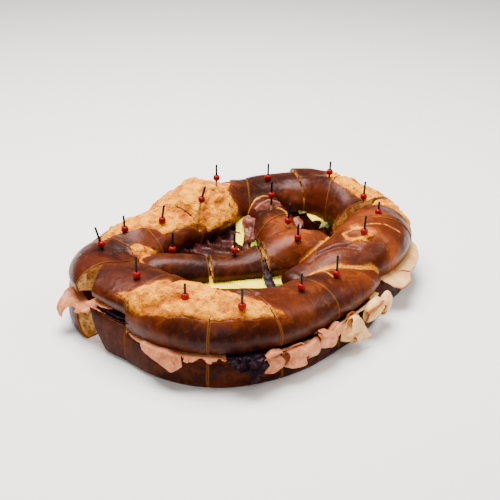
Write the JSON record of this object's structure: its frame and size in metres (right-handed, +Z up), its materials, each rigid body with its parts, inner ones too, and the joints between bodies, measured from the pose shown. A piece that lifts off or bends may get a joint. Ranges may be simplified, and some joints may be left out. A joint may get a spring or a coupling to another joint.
{
  "type": "filled lye pretzel",
  "caption": "Large filled lye pretzel, sliced level, layered with ham, turkey, cheese and lettuce, cut into portions that are each held by a bead pick.",
  "frame": {"origin": "centre of the bounding box in plan, on the surface that the pretzel lies on", "axes": "+X along the pretzel's width, +Y from the lobes with their notch towards the thick belly, +Z up"},
  "size_m": [0.4226, 0.308, 0.1191],
  "materials": {
    "top_crust": "dark glossy lye crust with golden burst crumb",
    "bottom_crust": "dark baked crust, satin, with pale crumb at the cuts",
    "cooked_ham": "moist pink slices",
    "turkey": "moist pale slices with a browned rim",
    "raw_ham": "dark cured slices, moist",
    "cheese": "soft yellow slices",
    "lettuce_dark": "near-black purple leaf, wet gloss",
    "lettuce_green": "light green leaf",
    "bead_pick": "red bead on a stem that is black above and bamboo below"
  },
  "bodies": {
    "root": {"bottom_01": "bottom_crust", "bottom_02_to_05": "bottom_crust", "bottom_06_to_09": "bottom_crust", "bottom_10_to_11": "bottom_crust", "bottom_12_to_15": "bottom_crust", "bottom_16": "bottom_crust", "bottom_17": "bottom_crust", "bottom_18": "bottom_crust", "bottom_19": "bottom_crust", "bottom_20": "bottom_crust", "cheese_back": "cheese", "cheese_front": "cheese", "ham_front": "cooked_ham", "ham_left": "cooked_ham", "ham_rolls": "cooked_ham", "lettuce_dark": "lettuce_dark", "lettuce_green": "lettuce_green", "pick_01": "bead_pick", "pick_02": "bead_pick", "pick_03": "bead_pick", "pick_04": "bead_pick", "pick_05": "bead_pick", "pick_06": "bead_pick", "pick_07": "bead_pick", "pick_08": "bead_pick", "pick_09": "bead_pick", "pick_10": "bead_pick", "pick_11": "bead_pick", "pick_12": "bead_pick", "pick_13": "bead_pick", "pick_14": "bead_pick", "pick_15": "bead_pick", "pick_16": "bead_pick", "pick_17": "bead_pick", "pick_18": "bead_pick", "pick_19": "bead_pick", "pick_20": "bead_pick", "portion_01_top": "top_crust", "portion_02_top": "top_crust", "portion_03_top": "top_crust", "portion_04_top": "top_crust", "portion_05_top": "top_crust", "portion_06_top": "top_crust", "portion_07_top": "top_crust", "portion_08_top": "top_crust", "portion_09_top": "top_crust", "portion_10_top": "top_crust", "portion_11_top": "top_crust", "portion_12_top": "top_crust", "portion_13_top": "top_crust", "portion_14_top": "top_crust", "portion_15_top": "top_crust", "portion_16_top": "top_crust", "portion_17_top": "top_crust", "portion_18_top": "top_crust", "portion_19_top": "top_crust", "portion_20_top": "top_crust", "raw_ham": "raw_ham", "turkey_right": "turkey", "turkey_rolls": "turkey"}
  },
  "joints": []
}
